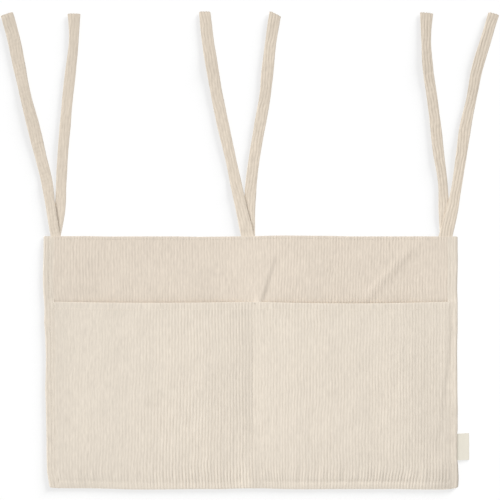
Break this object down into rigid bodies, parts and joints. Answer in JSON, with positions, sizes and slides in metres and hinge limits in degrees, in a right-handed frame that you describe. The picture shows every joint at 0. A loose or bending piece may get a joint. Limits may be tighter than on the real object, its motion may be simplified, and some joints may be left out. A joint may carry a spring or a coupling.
{
  "type": "crib organizer",
  "caption": "Flat corduroy hanging organizer for a crib rail: a lined panel with open-topped pockets, tie straps sewn in pairs into its top seam and a side label.",
  "frame": {"origin": "middle of the panel's back (lining) face, on the surface that it lies on", "axes": "+X along the rail to the right as seen from the front, +Y from the pockets up to the ties, +Z out of the front"},
  "size_m": [0.7235, 0.6942, 0.0105],
  "materials": {
    "corduroy": "cream wide-wale cotton corduroy",
    "tie_corduroy": "cream corduroy folded lengthwise into a strap",
    "lining": "cream plain-weave cotton",
    "label_tape": "off-white woven satin tape",
    "thread": "cream sewing thread"
  },
  "bodies": {
    "panel": {"lining_panel": "lining", "outer_panel": "corduroy", "pocket_panel": "corduroy", "left_side_band": "corduroy", "right_side_band": "corduroy", "top_edge_stitch": "thread", "bottom_stitch": "thread", "left_side_stitch": "thread", "right_side_stitch": "thread", "divider_stitch": "thread", "mouth_hem_stitch_left": "thread", "mouth_hem_stitch_right": "thread", "divider_bartack": "thread", "mouth_bartack_left": "thread", "mouth_bartack_right": "thread"},
    "left_ties": {"tie_left_outer_stem": "tie_corduroy", "tie_left_inner_stem": "tie_corduroy"},
    "left_outer_tail": {"tie_left_outer_tail": "tie_corduroy"},
    "left_inner_tail": {"tie_left_inner_tail": "tie_corduroy"},
    "centre_ties": {"tie_centre_left_stem": "tie_corduroy", "tie_centre_right_stem": "tie_corduroy"},
    "centre_left_tail": {"tie_centre_left_tail": "tie_corduroy"},
    "centre_right_tail": {"tie_centre_right_tail": "tie_corduroy"},
    "right_ties": {"tie_right_inner_stem": "tie_corduroy", "tie_right_outer_stem": "tie_corduroy"},
    "right_inner_tail": {"tie_right_inner_tail": "tie_corduroy"},
    "right_outer_tail": {"tie_right_outer_tail": "tie_corduroy"},
    "label": {"side_label": "label_tape"}
  },
  "joints": [
    {"name": "tie_left_seam", "type": "hinge", "parent": "panel", "child": "left_ties", "pos_m": [-0.2835, 0.18265, 0.0035], "axis": [1, 0, 0], "range_deg": [0, 85]},
    {"name": "tie_left_outer_fold", "type": "hinge", "parent": "left_ties", "child": "left_outer_tail", "pos_m": [-0.30038, 0.27265, 0.0016], "axis": [0.9778, 0.2096, 0], "range_deg": [0, 90]},
    {"name": "tie_left_inner_fold", "type": "hinge", "parent": "left_ties", "child": "left_inner_tail", "pos_m": [-0.2757, 0.27265, 0.0016], "axis": [0.9987, -0.0507, 0], "range_deg": [0, 90]},
    {"name": "tie_centre_seam", "type": "hinge", "parent": "panel", "child": "centre_ties", "pos_m": [-0.006, 0.18265, 0.0035], "axis": [1, 0, 0], "range_deg": [0, 85]},
    {"name": "tie_centre_left_fold", "type": "hinge", "parent": "centre_ties", "child": "centre_left_tail", "pos_m": [-0.02579, 0.27265, 0.0016], "axis": [0.9725, 0.2328, 0], "range_deg": [0, 90]},
    {"name": "tie_centre_right_fold", "type": "hinge", "parent": "centre_ties", "child": "centre_right_tail", "pos_m": [0.00085, 0.27265, 0.0016], "axis": [0.9949, -0.1008, 0], "range_deg": [0, 90]},
    {"name": "tie_right_seam", "type": "hinge", "parent": "panel", "child": "right_ties", "pos_m": [0.2835, 0.18265, 0.0035], "axis": [1, 0, 0], "range_deg": [0, 85]},
    {"name": "tie_right_inner_fold", "type": "hinge", "parent": "right_ties", "child": "right_inner_tail", "pos_m": [0.27647, 0.27265, 0.0016], "axis": [0.9964, 0.0848, 0], "range_deg": [0, 90]},
    {"name": "tie_right_outer_fold", "type": "hinge", "parent": "right_ties", "child": "right_outer_tail", "pos_m": [0.30125, 0.27265, 0.0016], "axis": [0.9876, -0.1571, 0], "range_deg": [0, 90]},
    {"name": "label_seam", "type": "hinge", "parent": "panel", "child": "label", "pos_m": [0.30015, -0.123, 0.0019], "axis": [0, -1, 0], "range_deg": [0, 90]}
  ]
}
